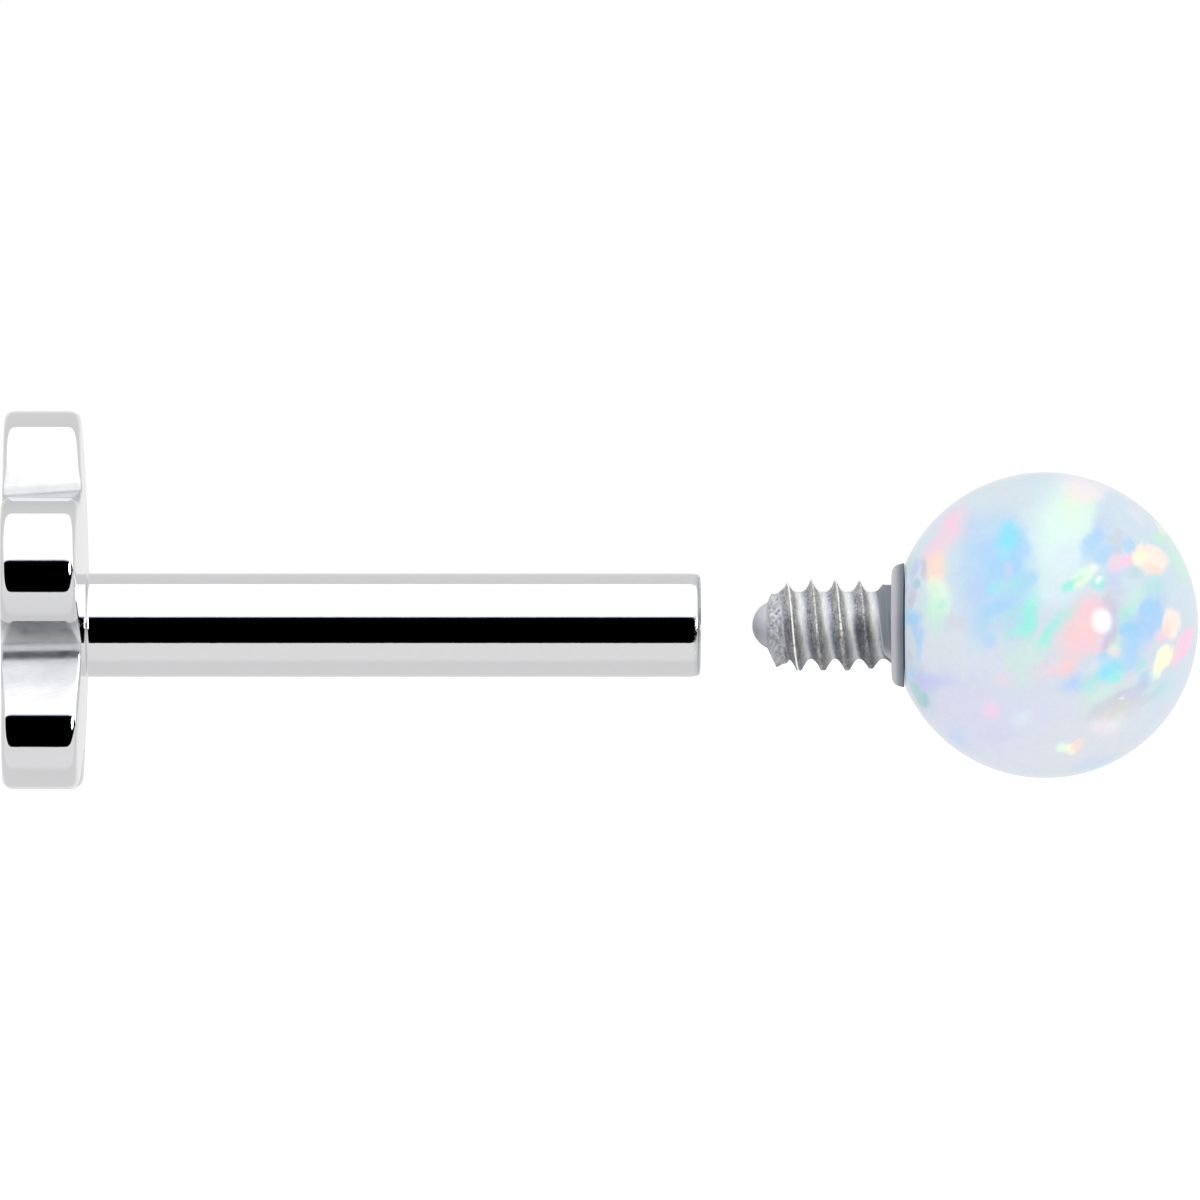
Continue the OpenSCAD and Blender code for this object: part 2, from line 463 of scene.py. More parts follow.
def turned_steel():
    """Turned steel with a fine grain, painted light on the roots, painted shade on the flanks and
    towards the bottom, a broken painted highlight along the crests and a frosty end.
    """
    material, shader, surface, place = new_material("turned_steel", Metallic=0.25, Roughness=0.55)
    marks = ("plain", "frost", "shade", "crest", "low")
    plain, frost, shade, crest, low = [shader.attribute(name) for name in marks]
    grain = shader.brushed(place, (90000, 9000, 9000), 3, 0.6)
    speckle = shader.noise(place, 42000, 3, 0.7)
    turns = thread_turns(shader, place)
    tone = thread_tone(shader, place, turns, low, grain, speckle)
    # Plain turned surfaces: the nose, painted darker towards the bottom, and the collar, with painted
    # shade that deepens towards the ball
    tone = shader.mix(plain, tone, shader.mix(low, *[steel(tone) for tone in NOSE_TONES]))
    tone = shader.mix(shader.step(shade, 0.0, 0.05), tone, steel_ramp(shader, shade, COLLAR_TONES))
    tone = shader.mix(frost, tone, frost_tone(shader, place, low, speckle))
    # Painted highlight along the crests
    tone = shader.mix(crest_highlight(shader, turns, crest, speckle), tone, steel(255))
    shader.put(surface.inputs["Base Color"], tone)
    height = shader.math("ADD", shader.times(speckle, 0.6), shader.times(grain, 0.4))
    shader.bump(surface, shader.math("MULTIPLY_ADD", frost, 0.5, 0.4), 4e-6, height)
    return material


# Colours that play in the opal, as they show
MINT = (226, 253, 243)
SPRING = (229, 255, 231)
GREEN = (201, 243, 220)
AQUA = (157, 242, 229)
TEAL = (175, 230, 228)
CYAN = (145, 228, 250)
SKY = (166, 215, 250)
BLUE = (174, 211, 250)
VIOLET = (195, 201, 243)
LILAC = (213, 211, 239)
MAUVE = (206, 197, 222)
PINK = (247, 213, 230)
ROSE = (254, 209, 230)
SALMON = (254, 211, 213)
PEACH = (255, 225, 211)
CREAM = (255, 240, 228)
LEMON = (253, 254, 221)
PEARL = (223, 240, 248)
BLUSH = (251, 239, 245)
ICE = (211, 227, 240)
FOG = (222, 224, 230)
MIST = (201, 208, 219)
STONE = (215, 215, 210)
SEA = (160, 205, 206)
DUSK = (186, 202, 222)
WHITE = (255, 255, 255)

# How soft a flake's edge is, as a share of its size
SOFT = 0.8
FAIR = 0.5
SHARP = 0.22
# Flakes on the side that faces the camera: across, up, half length and half width in hundredths of
# the ball's radius, the angle of the length from level, the colour, the percent of it and the edge
FLAKES = [
    (-43, -60, 50, 34, 0, LILAC, 50, SOFT),
    (-60, -12, 24, 16, 20, FOG, 50, SOFT),
    (-84, -38, 18, 8, 112, DUSK, 65, SOFT),
    (-25, 82, 24, 12, -10, FOG, 45, SOFT),
    (25, -75, 50, 18, 12, FOG, 60, SOFT),
    (78, -50, 34, 20, 55, ICE, 50, SOFT),
    (-52, 64, 12, 12, 0, LILAC, 35, SOFT),
    (-38, 40, 30, 16, 82, BLUE, 80, SOFT),
    (-42, 0, 14, 10, 70, SKY, 55, SOFT),
    (-45, 24, 12, 8, 40, VIOLET, 25, SOFT),
    (13, 64, 34, 19, 74, MINT, 95, SOFT),
    (20, 76, 11, 10, 30, SPRING, 85, SOFT),
    (10, 44, 15, 9, 30, PEARL, 80, SOFT),
    (26, 90, 15, 7, -14, BLUSH, 90, SOFT),
    (22, 84, 10, 4, 0, CREAM, 50, SOFT),
    (47, 62, 42, 17, 69, ICE, 90, SHARP),
    (36, 62, 10, 5, 60, VIOLET, 30, SOFT),
    (30, 54, 12, 5, 62, SKY, 70, FAIR),
    (38, 46, 9, 6, 40, SKY, 65, FAIR),
    (50, 90, 10, 5, -30, PEARL, 60, SOFT),
    (-22, 30, 32, 13, 96, SKY, 80, SOFT),
    (-24, 56, 11, 7.5, 78, CYAN, 100, FAIR),
    (-16, 50, 12, 5, 80, SKY, 80, FAIR),
    (-19, 38, 10, 3.5, 100, SKY, 85, FAIR),
    (-24, 38, 5, 3, 80, LILAC, 45, FAIR),
    (-12, 30, 8, 4.5, 30, SKY, 80, FAIR),
    (-22, 27, 11, 5, 20, TEAL, 60, SOFT),
    (-31, 24, 5, 4, 40, CYAN, 70, FAIR),
    (-31, 11, 9, 4, 30, SKY, 70, FAIR),
    (-20, 9, 8, 4, 40, TEAL, 55, FAIR),
    (-9, 8, 15, 4.5, 76, AQUA, 95, FAIR),
    (-15, -1, 7, 4.5, 40, AQUA, 80, FAIR),
    (-22, -5, 6, 3, 60, TEAL, 60, FAIR),
    (-5, -4, 12, 2.2, 66, FOG, 60, FAIR),
    (-1, -7, 8, 4, 60, AQUA, 70, FAIR),
    (-11, -22, 15, 9, 70, GREEN, 45, SOFT),
    (-23, -21, 7, 4, 60, GREEN, 40, SOFT),
    (-38, -11, 5, 4, 0, SKY, 50, FAIR),
    (8, 2, 15, 4.5, 42, AQUA, 65, FAIR),
    (7, 20, 12, 8, 20, PEARL, 60, SOFT),
    (-63, 62, 17, 7.5, 62, PINK, 90, SOFT),
    (-62, 66, 5, 4.5, 60, ROSE, 80, SOFT),
    (-74, 48, 8, 4.5, 74, ROSE, 60, SOFT),
    (-71, 37, 10, 5.8, 90, PEACH, 95, FAIR),
    (-78, 36, 7, 2.2, 100, MAUVE, 70, FAIR),
    (-71, 26, 6, 5.5, 90, LEMON, 60, SOFT),
    (-69, 16, 10, 6.5, 96, SPRING, 80, FAIR),
    (-73, 9, 12, 6, 90, GREEN, 70, SOFT),
    (-67, 14, 4, 3, 60, AQUA, 45, FAIR),
    (-59, 1, 7, 5, 0, MAUVE, 25, SOFT),
    (-90, 38, 8, 3, 72, SEA, 35, FAIR),
    (-85, 36, 8, 2.6, 72, VIOLET, 80, FAIR),
    (-83, 27, 3, 2.2, 60, SEA, 70, FAIR),
    (-88, 18, 9, 3, 84, MAUVE, 75, FAIR),
    (-90, 5, 5, 3, 80, CYAN, 50, FAIR),
    (-86, 3, 6, 3.5, 40, SKY, 90, FAIR),
    (-84, -7, 9, 3, 100, BLUE, 80, FAIR),
    (-83, -18, 7, 2.5, 86, BLUE, 60, FAIR),
    (-88, -21, 4, 1.8, 120, MIST, 80, SHARP),
    (-90, -32, 5, 3, 80, SKY, 70, FAIR),
    (-81, -35, 6, 4, 110, VIOLET, 90, FAIR),
    (-74, -38, 9, 4.5, 10, VIOLET, 70, FAIR),
    (-62, -35, 6, 5, 0, VIOLET, 40, SOFT),
    (-57, -38, 6, 4, 10, LILAC, 60, SOFT),
    (-86, -42, 7, 3, 118, SEA, 80, FAIR),
    (-80, -49, 4.5, 4, 30, SEA, 95, FAIR),
    (-36, -54, 5.5, 4.5, 60, ROSE, 65, SOFT),
    (-28, -33, 5, 4, 0, PINK, 35, SOFT),
    (-56, -72, 6, 7, 60, BLUE, 35, SOFT),
    (-30, -70, 10, 5, 0, LILAC, 50, SOFT),
    (-16, -60, 6, 5, 0, PEARL, 50, SOFT),
    (40, 13, 12, 5, -10, MAUVE, 75, FAIR),
    (30, 11, 9, 5, 50, PINK, 75, SOFT),
    (24, -4, 20, 12, 62, SALMON, 95, SOFT),
    (27, -14, 11, 5, 20, PINK, 60, SOFT),
    (12, -27, 7, 4, 8, SALMON, 80, SOFT),
    (0, -28, 8, 5, 0, PINK, 35, SOFT),
    (46, 2, 8, 3.5, 76, MAUVE, 80, FAIR),
    (41, -10, 8, 3, 52, MAUVE, 80, FAIR),
    (45, -11, 6, 3.5, 60, GREEN, 40, FAIR),
    (44, -17, 5, 3.5, 10, CREAM, 40, FAIR),
    (54, 6, 12, 3.5, 62, TEAL, 80, FAIR),
    (60, 18, 10, 4.5, 60, GREEN, 50, SOFT),
    (68, 5, 17, 8.5, 66, BLUE, 95, FAIR),
    (67, 13, 6, 3.5, 50, SKY, 80, FAIR),
    (54, -3, 6, 3.5, 20, SKY, 100, FAIR),
    (57, -14, 14, 8, 80, SKY, 75, FAIR),
    (67, -15, 5, 4, 60, LILAC, 50, SOFT),
    (63, -26, 5, 3, 60, TEAL, 70, FAIR),
    (24, 31.5, 10, 5, 34, SPRING, 100, FAIR),
    (22, 31, 5, 2.2, 34, GREEN, 80, FAIR),
    (15.5, 26.5, 5, 3.5, 50, AQUA, 90, FAIR),
    (31, 36, 3, 2, 60, WHITE, 50, FAIR),
    (36, 27, 4.5, 4.2, 0, AQUA, 75, SHARP),
    (36, 28.5, 2.2, 1.8, 30, WHITE, 80, FAIR),
    (45, 30, 8, 5, 80, VIOLET, 50, SOFT),
    (47, 20, 7, 4, 20, MIST, 45, SOFT),
    (43, 57, 5, 3, 20, MIST, 60, SOFT),
    (46, 50, 6, 2.6, 80, MIST, 70, FAIR),
    (53, 52, 4, 4, 0, SKY, 60, FAIR),
    (46, 41, 5, 5, 0, PINK, 80, FAIR),
    (54, 42, 6, 4.5, 12, ROSE, 95, FAIR),
    (59, 34, 6, 4, 20, SEA, 30, FAIR),
    (69, 43, 11.5, 8.5, -4, CREAM, 100, SHARP),
    (60.5, 47, 7.5, 3.2, 78, CREAM, 100, SHARP),
    (62, 44, 5, 4.5, 80, LEMON, 90, FAIR),
    (71, 37, 5.5, 3, -10, PEACH, 80, FAIR),
    (72, 26, 9, 6, 20, TEAL, 55, SOFT),
    (60, 73, 7, 4, -45, BLUSH, 35, SOFT),
    (72, 68, 4, 2.5, -46, PINK, 50, FAIR),
    (76, 63, 5, 2.5, -52, LEMON, 60, FAIR),
    (73, 57, 5, 3.5, -60, GREEN, 80, FAIR),
    (87, 42, 18, 4.5, -66, GREEN, 75, SOFT),
    (82, 2, 10, 5.5, 100, CREAM, 100, SHARP),
    (77, -5, 5.5, 3.2, 76, ROSE, 60, FAIR),
    (80, 0, 5, 3, 80, PEACH, 60, FAIR),
    (90.5, -13, 11.5, 4.3, 70, ROSE, 100, SHARP),
    (86, -17, 7, 3.5, 70, PINK, 90, FAIR),
    (77.5, -22, 11.5, 4.8, 68, LEMON, 100, SHARP),
    (72, -31.5, 5, 2.4, 30, SPRING, 90, FAIR),
    (36, -22, 5, 4, 40, SKY, 70, FAIR),
    (30, -27, 8, 5, 20, ICE, 60, SOFT),
    (42, -30, 10, 6, 30, CYAN, 90, FAIR),
    (36, -35, 6, 3.5, 40, CYAN, 70, FAIR),
    (46, -34.5, 6, 3, 30, AQUA, 90, FAIR),
    (29, -40, 8, 5, 30, TEAL, 80, FAIR),
    (17, -38, 7, 5, 40, BLUE, 80, SOFT),
    (36, -46, 14, 4.5, 24, GREEN, 45, SOFT),
    (64, -36, 8, 3.5, 40, BLUE, 80, FAIR),
    (76, -41, 8, 5, 30, TEAL, 55, SOFT),
    (48, -47.5, 24, 4.2, 31, MIST, 95, FAIR),
    (55, -44, 10, 2.5, 34, LILAC, 60, FAIR),
    (50, -48.2, 2.2, 1, 20, WHITE, 80, SHARP),
    (66, -46, 9, 3, 20, MIST, 55, FAIR),
    (44, -56, 16, 4.5, 24, STONE, 80, SOFT),
    (40, -65, 11, 5, 20, BLUSH, 50, SOFT),
    (13, -79.5, 4.5, 3, 10, SPRING, 95, FAIR),
    (17.5, -80.2, 3.5, 2.8, 20, LEMON, 95, FAIR),
    (22, -78.5, 4.5, 2.6, 34, PEACH, 75, FAIR),
    (34, -90, 14, 5, 12, BLUE, 40, SOFT),
]
# How far a flake reaches in depth, in ball radii
FLAKE_DEPTH = 0.7
# Flakes on the side away from the camera, which the photo doesn't show, are scattered at random
FAR_FLAKES = 110
FAR_COLORS = (
    MINT, SPRING, GREEN, AQUA, SKY, BLUE, CYAN, LILAC, PINK, SALMON, PEACH, LEMON, PEARL, FOG, ICE
)
# The chart of flakes is turned to face the camera
BALL_TURN = math.radians(-0.6)
# Tones of the stone itself near its top and its bottom, and of the milk over the flakes
OPAL_TOP = (209, 229, 239)
OPAL_LOW = (216, 223, 233)
MILK = (222, 235, 241)


def drift(points, seed, pace, reach):
    """Small smooth shifts of points in space, which give the flakes their ragged outlines."""
    draw = np.random.default_rng(seed)
    moved = np.zeros_like(points)
    for k in range(12):
        wave = draw.normal(0, pace, 3)
        moved += draw.normal(0, 1, 3) * np.sin(points @ wave + draw.uniform(0, 2 * math.pi))[:, None]
    return moved * reach / math.sqrt(6)


def near_flakes():
    """Centre, axes, sizes, colour, strength and softness of the flakes that the camera sees."""
    for *sizes, lie, shown, percent, edge in FLAKES:
        across, up, half_length, half_width = [size / 100 for size in sizes]
        toward = -math.sqrt(max(0.0, 1 - across * across - up * up))
        lie_sin, lie_cos = math.sin(math.radians(lie)), math.cos(math.radians(lie))
        axes = np.array([[lie_cos, 0.0, lie_sin], [-lie_sin, 0.0, lie_cos], [0.0, 1.0, 0.0]])
        yield np.array([across, toward, up]), axes, half_length, half_width, shown, percent / 100, edge


def far_flakes():
    """The same for the flakes on the far side, each lying along the ball's surface."""
    draw = np.random.default_rng(21)
    for k in range(FAR_FLAKES):
        up = draw.uniform(-0.95, 0.95)
        turn = draw.uniform(0.12, 0.88) * math.pi
        wide = math.sqrt(1 - up * up)
        centre = np.array([math.cos(turn) * wide, math.sin(turn) * wide, up])
        level = np.array([-math.sin(turn), math.cos(turn), 0.0])
        lie = math.radians(draw.uniform(25, 110))
        first = level * math.cos(lie) + np.cross(centre, level) * math.sin(lie)
        half_length = draw.uniform(0.05, 0.22)
        half_width = half_length * draw.uniform(0.3, 0.6)
        shown = FAR_COLORS[draw.integers(len(FAR_COLORS))]
        axes = np.array([first, np.cross(centre, first), centre])
        edge = SOFT if half_length > 0.14 else FAIR
        yield centre, axes, half_length, half_width, shown, draw.uniform(0.45, 0.95), edge


def opal_colors(points):
    """Colours of the opal at points given in ball radii from its centre."""
    turn_sin, turn_cos = math.sin(BALL_TURN), math.cos(BALL_TURN)
    x, y, z = points.T
    chart = np.column_stack([x * turn_cos - y * turn_sin, x * turn_sin + y * turn_cos, z])
    for seed, pace, reach in ((11, 6.0, 0.01), (12, 18.0, 0.007), (13, 50.0, 0.004)):
        chart = chart + drift(chart, seed, pace, reach)
    top, low = [np.array(lit(tone, OPAL_LIGHT)) for tone in (OPAL_TOP, OPAL_LOW)]
    tones = lerp(low, top, smooth((chart[:, 2] + 0.5) / 1.1)[:, None])
    for centre, axes, half_length, half_width, shown, strength, edge in (*far_flakes(), *near_flakes()):
        away = (chart - centre) @ axes.T / (half_length, half_width, FLAKE_DEPTH)
        size = np.linalg.norm(away, axis=1)
        cover = smooth((1 + edge - size) / (2 * edge)) * strength
        tones = lerp(tones, np.array(lit(shown, OPAL_LIGHT)), cover[:, None])
    return tones


def white_opal():
    """Milky glossy stone with pastel flakes of colour that lie just under its surface."""
    gloss = {"Specular_IOR_Level": 0.2, "Roughness": 0.06, "IOR": 1.45}
    material, shader, surface, place = new_material("white_opal", **gloss)
    centre = [value * MM for value in (BALL_X, 0.0, AXIS_Z)]
    ball = {"Vector": place, "Location": centre, "Scale": (BALL_R * MM,) * 3}
    chart = shader.add("ShaderNodeMapping", ball, vector_type="TEXTURE").outputs["Vector"]
    tone = shader.attribute("flakes", "Color")
    # Milk that veils the flakes in places, and a fine grain in the colours
    milk = shader.step(shader.noise(chart, 7.0, 5, 0.6), 0.4, 0.8, 0.0, 0.2)
    tone = shader.mix(milk, tone, lit(MILK, OPAL_LIGHT))
    grains = shader.noise(chart, 30.0, 4, 0.65, "Color")
    grain = shader.add("ShaderNodeSeparateColor", {"Color": grains})
    shades = {
        name: shader.step(grain.outputs[name], 0.3, 0.7, 0.965, 1.035, "LINEAR")
        for name in ("Red", "Green", "Blue")
    }
    grained = shader.add("ShaderNodeCombineColor", shades).outputs["Color"]
    shader.put(surface.inputs["Base Color"], shader.mix(1.0, tone, grained, "MULTIPLY"))
    shader.bump(surface, 0.03, 2e-6, shader.noise(chart, 40.0, 3))
    return material


def directions(angles):
    return np.stack([np.cos(angles), np.sin(angles)], axis=-1)


def flat_dullness(near_crease, slow, more, start, width):
    """How much painted shade a flat that faces up has, from its round tip (0) to its crease (1)."""
    return slow * near_crease + more * smooth((near_crease - start) / width)


def star_dullness(valley, out_along, in_along, crease_steps, round_tip):
    """How much painted shade the steel has round one valley: round tip, flank, crease, flank and round
    tip.
    """
    if valley == 0:
        # Painted shade on the flat of the top arm, deepening towards the crease, and on the near arm's
        # upper side, which the top arm shades
        shaded = 0.3 * (1 - smooth((round_tip - 0.05) / 0.5))
        return 0.0, flat_dullness(out_along, 0.12, 0.2, 0.75, 0.25), 0.32, 0.3, shaded
    if valley == 1:
        # Painted bluish shade under the near arm, from its round tip over its underside and in the
        # crease, and on the flat of the lower arm near the crease
        under = 0.57 * smooth((in_along - 0.15) / 0.75) + 0.2 * smooth((out_along - 0.9) / 0.1)
        edge = 0.06 * smooth((round_tip - 0.5) / 0.2)
        crease = np.linspace(0.2, CREASE_SHADE, crease_steps + 1)
        return edge, under, crease, flat_dullness(in_along, 0.06, 0.2, 0.3, 0.35), 0.0
    # Painted shade in the other creases, reaching a little onto the flanks
    into_crease = CREASE_SHADE * smooth((out_along - 0.9) / 0.1)
    return 0.0, into_crease, CREASE_SHADE, into_crease[::-1], 0.0


def star_outline():
    """Points of the star's edge about its centre, their normals, how far each is from a crease
    (0 in it, and 1 on a round tip), which valley it belongs to, and how much painted shade it has
    there."""
    valley = math.pi / ARMS
    tip_end = math.pi / 2 - FLANK
    tip_steps = 24
    crease_steps = 14
    round_tip = np.linspace(0, 1, tip_steps + 1)
    out_along = np.array(shares(11)[:-1])
    in_along = 1 - out_along
    along_flank = out_along[:, None]
    parts = []

    def add(points, normals, *marks):
        marks = [np.broadcast_to(mark, len(points)) for mark in marks]
        parts.append((points, np.broadcast_to(normals, points.shape), *marks))

    def half_tip(middle, radius, from_turn, to_turn):
        out = directions(middle + np.linspace(from_turn, to_turn, tip_steps + 1))
        return (STAR_R - radius) * directions(middle) + radius * out, out

    for arm, radius in enumerate(TIP_RADII):
        middle = math.pi / 2 + arm * ARM_TURN
        before, before_out = half_tip(middle, radius, 0, tip_end)
        after, after_out = half_tip(middle + ARM_TURN, radius, -tip_end, 0)
        reach = ((STAR_R - radius) * math.sin(FLANK) + radius) / math.sin(valley + FLANK)
        bend_r = CREASE_RADII[arm]
        centre = (reach + bend_r / math.sin(valley + FLANK)) * directions(middle + valley)
        back = middle + math.pi
        out = directions(np.linspace(back + tip_end, back + ARM_TURN - tip_end, crease_steps + 1))
        crease = centre + bend_r * out
        dull = star_dullness(arm, out_along, in_along, crease_steps, round_tip)
        add(before, before_out, 1.0, arm, dull[0])
        add(lerp(before[-1], crease[0], along_flank), before_out[-1], in_along, arm, dull[1])
        add(crease, -out, 0.0, arm, dull[2])
        add(lerp(crease[-1], after[0], along_flank), after_out[0], out_along, arm, dull[3])
        add(after[:-1], after_out[:-1], 1.0, arm, np.broadcast_to(dull[4], len(after))[:-1])
    return [np.concatenate(part) for part in zip(*parts)]


# The post's axis as seen from the star's centre
DROP = np.array([0.0, AXIS_Z - STAR_Z])


def turned(along, flat):
    """Directions from their part along the post and their two parts across it."""
    return np.column_stack([np.broadcast_to(along, len(flat)), flat])


def place(along, flat):
    """Points in space from a place along the post and two distances across it, star-centred."""
    return turned(along, flat) + (0.0, 0.0, STAR_Z)


def unit(rows):
    return rows / np.linalg.norm(rows, axis=1)[:, None]


def dome(flat):
    """Where the domed face lies along the post at points across it, and its normals there."""
    centre_x = PLATE_OUT + PLATE_T - DOME_R
    along = centre_x + np.sqrt(DOME_R ** 2 - np.sum(flat * flat, axis=1))
    return along, turned((along - centre_x) / DOME_R, flat / DOME_R)


def add_star(skin, outline, out, tipness, valleys, dull):
    """Outer face, worn outer edge, wall and worn inner edge; returns the last ring's points across
    the post and its place along it."""
    outer_wide, outer_deep = [lerp(*ends, smooth(tipness)) for ends in (OUTER_WIDE, OUTER_DEEP)]
    inner_wide, inner_deep = [lerp(*ends, smooth(tipness)) for ends in (INNER_WIDE, INNER_DEEP)]
    step_y, step_z = (np.roll(outline, -1, axis=0) - np.roll(outline, 1, axis=0)).T
    lift = (1 - tipness) * np.array(CREASE_LIFT)[valleys]
    lean = (1 - tipness) * np.array(CREASE_LEAN)[valleys]
    side = np.column_stack([-out[:, 1], out[:, 0]])

    def wall(share, inset, slope):
        """A ring of the wall: how far across it, how far in, and how steeply it goes in there."""
        shift = lift + (share - 0.5) * lean
        slant = (np.roll(shift, -1) - np.roll(shift, 1)) / np.hypot(step_y, step_z) * out[:, 1]
        flat = outline - np.reshape(inset, (-1, 1)) * out + np.column_stack([0 * shift, shift])
        leaned = unit(out - side * slant[:, None])
        return flat, unit(turned(slope - lean * out[:, 1] / PLATE_T, leaned))

    rim = wall(0.0, outer_deep, 0.0)[0]
    for share in (0.0, 0.3, 0.6, 0.85, 1.0):
        skin.ring(place(PLATE_OUT, share * rim), -AHEAD, satin=OUTER_SATIN)
    tall = dome(outline - inner_deep[:, None] * out)[0] - PLATE_OUT
    edge_turns = np.linspace(0, math.pi / 2, 10)
    across = [outer_wide * (1 - math.cos(turn)) for turn in edge_turns[1:]]
    across += [lerp(outer_wide, tall - inner_wide, share) for share in shares(10)[:-1]]
    across += [tall - inner_wide * (1 - math.sin(turn)) for turn in edge_turns]
    flats = 1 - smooth((tipness - 0.9) / 0.1)
    for x in across:
        inset = 0.0
        slope = 0.0
        worn = 1.0
        edges = ((outer_wide, outer_deep, x, -1), (inner_wide, inner_deep, tall - x, 1))
        for wide, deep, from_edge, sign in edges:
            near = np.clip(1 - from_edge / wide, 0, 1)
            rest = np.sqrt(np.maximum(1 - near ** EDGE_POWER, 1e-4))
            inset = inset + deep * (1 - rest)
            slope = slope + sign * deep / wide * EDGE_POWER * near ** (EDGE_POWER - 1) / (2 * rest)
            worn = worn * (1 - near)
        flat, normal = wall(x / tall, inset, slope)
        skin.ring(place(PLATE_OUT + x, flat), normal, satin=flats * smooth(worn * 3), dull=dull)
    return flat, PLATE_OUT + x


def add_dome(skin, ray, rim, rim_x):
    """Domed face, from the wall's edge in to the solder; returns where the solder's foot lies."""
    foot = DROP + (POST_R + SOLDER_R) * ray
    for share in shares(12):
        flat = lerp(rim, foot, share)
        along, normal = dome(flat)
        along = along + (rim_x - dome(rim)[0]) * (1 - smooth(share * 4))
        skin.ring(place(along, flat), normal, satin=DOME_SATIN)
    return dome(foot)[0]


def add_bend(skin, ray, hub_x, hub_r, bend_r, turn, **marks):
    """A ring of a round about the post's axis, whose middle line is hub_r from it. The turn goes
    from straight out (0) to along the post, and the round is hollow where bend_r is below 0."""
    normal = turned(0.0, ray) * math.cos(turn) + AHEAD * math.sin(turn)
    skin.ring(place(hub_x, DROP + hub_r * ray) + bend_r * normal, normal, **marks)


def add_post(skin, ray, foot_x):
    """Solder, post, its rounded end in two steps, and the lip of the bore."""
    for share in shares(6):
        turn = math.pi / 2 * (1 - share)
        add_bend(skin, ray, foot_x + SOLDER_R, POST_R + SOLDER_R, -SOLDER_R, turn, satin=0.08)
    taper_r = TAPER_L / math.sin(TAPER)
    round_r = POST_R - taper_r * (1 - math.cos(TAPER)) - END_R * math.cos(TAPER)
    last_turn = math.acos((BORE_R + LIP_R - round_r) / (END_R - LIP_R))
    lip_x = POST_END - LIP_R
    round_x = lip_x - (END_R - LIP_R) * math.sin(last_turn)
    end_x = round_x + END_R * math.sin(TAPER) - TAPER_L
    past_solder = foot_x + SOLDER_R + 0.012
    for share in (0.0, *shares(16)):
        add_bend(skin, ray, lerp(past_solder, end_x, share), POST_R, 0.0, 0.0)
    for share in shares(8):
        worn = smooth(share * 2 - 1)
        turn = TAPER * share
        marks = {"satin": END_SATIN * worn, "dull": 0.3 * END_DARKENING * worn}
        add_bend(skin, ray, end_x, POST_R - taper_r, taper_r, turn, **marks)
    for share in shares(9):
        worn = 0.3 + 0.7 * smooth(share * 2)
        turn = lerp(TAPER, last_turn, share)
        marks = {"satin": END_SATIN * worn, "dull": END_DARKENING * worn}
        add_bend(skin, ray, round_x, round_r, END_R, turn, **marks)
    for share in shares(6):
        turn = lerp(last_turn, math.pi, share)
        add_bend(skin, ray, lip_x, BORE_R + LIP_R, LIP_R, turn, satin=END_SATIN, dull=END_DARKENING)


def add_bore(skin, ray):
    """Bore with its fine inner thread, which starts just inside the lip, and the drill's point."""
    radial = turned(0.0, ray)
    phase = np.arctan2(ray[:, 0], -ray[:, 1]) / (2 * math.pi)
    lip_x = POST_END - LIP_R
    floor_x = POST_END - BORE_END
    rings_a_turn = 14
    for share in shares(int(rings_a_turn * (lip_x - floor_x) / PITCH)):
        along = lerp(lip_x, floor_x, share)
        turns = (along - NOSE_X) / PITCH - phase
        fade = smooth((lip_x - along) / 0.1) * smooth((along - floor_x) / 0.15)
        slope = GROOVE * math.pi / PITCH * np.sin(2 * math.pi * turns) * fade
        deep = GROOVE * fade * (0.5 + 0.5 * np.cos(2 * math.pi * turns))
        flat = DROP + (BORE_R + deep)[:, None] * ray
        skin.ring(place(along, flat), unit(-radial - AHEAD * slope[:, None]), satin=BORE_SATIN)
    point_x = floor_x - BORE_R / math.tan(DRILL)
    tilt = -radial * math.sin(DRILL) + AHEAD * math.cos(DRILL)
    for share in (0.85, 0.5, 0.15, 0.0):
        flat = DROP + share * BORE_R * ray
        skin.ring(place(lerp(point_x, floor_x, share), flat), tilt, satin=BORE_SATIN)


def star_back_post(material):
    edge = star_outline()
    skin = Skin(len(edge[0]), satin=0.0, dull=0.0)
    rim, rim_x = add_star(skin, *edge)
    ray = unit(rim - DROP)
    add_post(skin, ray, add_dome(skin, ray, rim, rim_x))
    add_bore(skin, ray)
    return skin.build("star_back_and_post", "polished_steel", "back", material, "star_back_post")


def thread_height(share, low):
    """Height of the thread from root to crest at a distance from the crest, in shares of the pitch.
    The crests are narrow and the roots wide at the top (low 0), and rounder at the bottom (low 1)."""
    flat = lerp(0.02, 0.08, low)
    return (1 - np.clip((share - flat) / lerp(0.37, 0.4, low), 0.0, 1.0)) ** lerp(2.1, 1.7, low)


# Height of the crest along the stem, where the thread begins to run out
RUN_OUT_AT = (0.93, 1.05, 1.168, 1.286)
RUN_OUT = (1.0, 0.91, 0.83, 0.61)
# How bright the painted highlight along each turn's crest is
CREST_HIGHLIGHT = (1.0, 0.55, 0.85, 0.3, 0.0)


def stem_places():
    """Distances of the rings from the nose's end, up to the collar's face."""
    meet_turn = math.acos((NOSE_R - NOSE_MEET) / NOSE_R)
    cone_end = CONE_START + THREAD_R / CONE_RISE + 0.03
    places = [NOSE_R * (1 - math.cos(meet_turn * share)) for share in (0.0, *shares(14))]
    places += list(np.linspace(NOSE_MEET, cone_end, 34)[1:])
    places += list(np.linspace(cone_end, COLLAR_FACE, 200)[1:])
    return places


